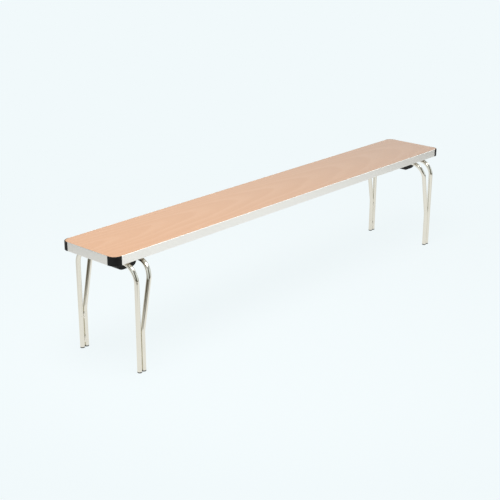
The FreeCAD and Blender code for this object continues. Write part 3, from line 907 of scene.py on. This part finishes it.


# Setting
# A plain white floor and backdrop that the eye sees as one pale tone, with the bench's shadow faint
# on it. One soft box hangs above the left half. The metal shows pale walls, the unlit room behind
# the camera, a white card, and a pool of light and a patch of shade that are painted into the
# floor's glow and only show in reflections. These give the metal its white and dark lines.
PALE = (0.880, 0.947, 0.965, 1)
WHITE = (0.90, 0.90, 0.89, 1)
CEILING = (0.36, 0.36, 0.36, 1)
# Painted light of the pool on the floor, which only reflections show.
PAINTED_POOL_LIGHT = (1.0, 1.0, 0.99, 1)
CARD_LIT = (3.0, 3.0, 2.95, 1)
# The unlit room behind the camera, and the painted shade on the floor.
DIM = (0.14, 0.125, 0.095, 1)
CEILING_SPAN = (0.42, 0.56)  # sines of the heights over which the walls give way to it
BACK_LEAN = (0.10, 0.174, 1.0)  # the backdrop behind the bench is the lowest wall
UNLIT_HEADING = 245  # degrees from +X to the room behind the camera
UNLIT_FULL = 20  # degrees to each side
UNLIT_EDGE = 38
CARD_HEADING = -10  # degrees from +X to the white card, which only reflections show
CARD_HEIGHT = 55  # degrees above the floor
CARD_FULL = 17  # degrees from its middle
CARD_EDGE = 25
FLOOR_SIDE = 120
SHADOW_SHARE = 0.09  # how much of the floor near the bench is left to its own light
SHADOW_SPAN = (0.9, 1.8)  # metres from the middle of the bench
BACKDROP_LIFT = 0.36  # evens out what the floor lacks in light of its own
# Where the pool of light painted on the floor lies, and how far out it fades.
PAINTED_POOL_MIDDLE = (-0.26, -0.88, 0.0)
PAINTED_POOL_SPAN = (1.05, 4.2)
PAINTED_SHADE_MIDDLE = (-1.6, -1.65, 0.0)  # painted shade on the floor towards the camera, seen only in reflections
PAINTED_SHADE_SPAN = (0.55, 1.25)
PAINTED_SHADE_SHARE = 0.8
BOX_PLACE = (-1.0, -0.4, 2.3)
BOX_AIM = (-0.2, 0.0, 0.4)
BOX_SIDE = 1.4
BOX_POWER = 35


def light_path(tree, *kinds):
    """1 for rays of these kinds, 0 for others."""
    path = put(tree, "LightPath", {}).outputs
    total = path["Is %s Ray" % kinds[0]]
    for kind in kinds[1:]:
        total = maths(tree, "MAXIMUM", total, path["Is %s Ray" % kind])
    return total


def distance_from(tree, point):
    """Distance over the floor from a point."""
    sockets = {0: place(tree), 1: point}
    return put(tree, "VectorMath", sockets, operation="DISTANCE").outputs["Value"]


def towards(heading, height=0):
    """The direction to a heading from +X and a height above the floor, in degrees."""
    level = cos(radians(height))
    return (level * cos(radians(heading)), level * sin(radians(heading)), sin(radians(height)))


def within(tree, direction, middle, full, edge):
    """1 up to an angle from a direction, fading to 0 at a wider one, in degrees."""
    near = agreement(tree, direction, middle)
    return ranged(tree, near, cos(radians(edge)), cos(radians(full)))


bpy.ops.object.select_all(action="DESELECT")
bpy.ops.mesh.primitive_plane_add(size=FLOOR_SIDE)
floor = bpy.context.object
floor.name = "floor"
floor_paint, tree, shader = new_finish("floor_paint")
shader.inputs["Base Color"].default_value = WHITE
shader.inputs["Roughness"].default_value = 1.0
shader.inputs["Specular IOR Level"].default_value = 0.0
own_light = ranged(tree, distance_from(tree, (0, 0, 0)), *SHADOW_SPAN, SHADOW_SHARE, 0.0)
backdrop_share = maths(tree, "SUBTRACT", 1.0, own_light)
# The glow that reflections see on the floor is painted: a pool of light fading with distance, and a
# patch of shade.
painted_pool_fade = ranged(tree, distance_from(tree, PAINTED_POOL_MIDDLE), *PAINTED_POOL_SPAN)
painted_shade = ranged(tree, distance_from(tree, PAINTED_SHADE_MIDDLE), *PAINTED_SHADE_SPAN, PAINTED_SHADE_SHARE, 0.0)
painted_pool_and_shade = mixed(tree, maths(tree, "MAXIMUM", painted_pool_fade, painted_shade), PAINTED_POOL_LIGHT, DIM)
tone = mixed(tree, light_path(tree, "Glossy"), PALE, painted_pool_and_shade)
strength = plus(tree, 1.0, own_light, BACKDROP_LIFT)
backdrop = put(tree, "Emission", {"Color": tone, "Strength": strength}).outputs[0]
looking = light_path(tree, "Camera", "Glossy", "Transmission")
seen = maths(tree, "MULTIPLY", looking, backdrop_share)
blend = put(tree, "MixShader", {0: seen, 1: shader.outputs[0], 2: backdrop}).outputs[0]
feed(tree, blend, tree.nodes["Material Output"].inputs["Surface"])
floor.data.materials.append(floor_paint)

world = bpy.data.worlds.new("studio")
bpy.context.scene.world = world
world.use_nodes = True
tree = world.node_tree
direction = put(tree, "TexCoord", {}).outputs["Generated"]
level = put(tree, "VectorMath", {0: direction, 1: (1, 1, 0)}, operation="MULTIPLY").outputs[0]
heading = put(tree, "VectorMath", {0: level}, operation="NORMALIZE").outputs[0]
behind = within(tree, heading, towards(UNLIT_HEADING), UNLIT_FULL, UNLIT_EDGE)
walls = mixed(tree, behind, PALE, DIM)
overhead = ranged(tree, agreement(tree, direction, BACK_LEAN), *CEILING_SPAN)
room = mixed(tree, overhead, walls, CEILING)
on_card = within(tree, direction, towards(CARD_HEADING, CARD_HEIGHT), CARD_FULL, CARD_EDGE)
shown_card = maths(tree, "MULTIPLY", on_card, light_path(tree, "Glossy"))
lit_room = mixed(tree, shown_card, room, CARD_LIT)
surround = mixed(tree, light_path(tree, "Camera"), lit_room, PALE)
feed(tree, surround, tree.nodes["Background"].inputs["Color"])

facing = (Vector(BOX_AIM) - Vector(BOX_PLACE)).to_track_quat("-Z", "Y").to_euler()
bpy.ops.object.light_add(type="AREA", location=BOX_PLACE, rotation=facing)
soft_box = bpy.context.object
soft_box.name = "soft_box"
soft_box.data.shape = "SQUARE"
soft_box.data.size = BOX_SIDE
soft_box.data.energy = BOX_POWER
soft_box.visible_camera = False


# Camera
# It stands in front of the left end and looks along the bench, as the photograph does.
# Its place, angles and lens come from a fit to the corners of the top and to the feet.
CAMERA_PLACE = (-2.8993, -2.4339, 1.5239)
AZIMUTH = -48.486
ELEVATION = 19.838
ROLL = 0.281
FOCAL = 76.32  # millimetres
SENSOR = 36

bpy.ops.object.camera_add(location=CAMERA_PLACE)
camera = bpy.context.object
heading = Matrix.Rotation(radians(AZIMUTH), 3, "Z")
tilt = Matrix.Rotation(radians(90 - ELEVATION), 3, "X")
roll = Matrix.Rotation(radians(ROLL), 3, "Z")
camera.rotation_euler = (heading @ tilt @ roll).to_euler()
camera.data.lens = FOCAL
camera.data.sensor_width = SENSOR
bpy.context.scene.camera = camera
bpy.context.scene.view_settings.view_transform = "Standard"
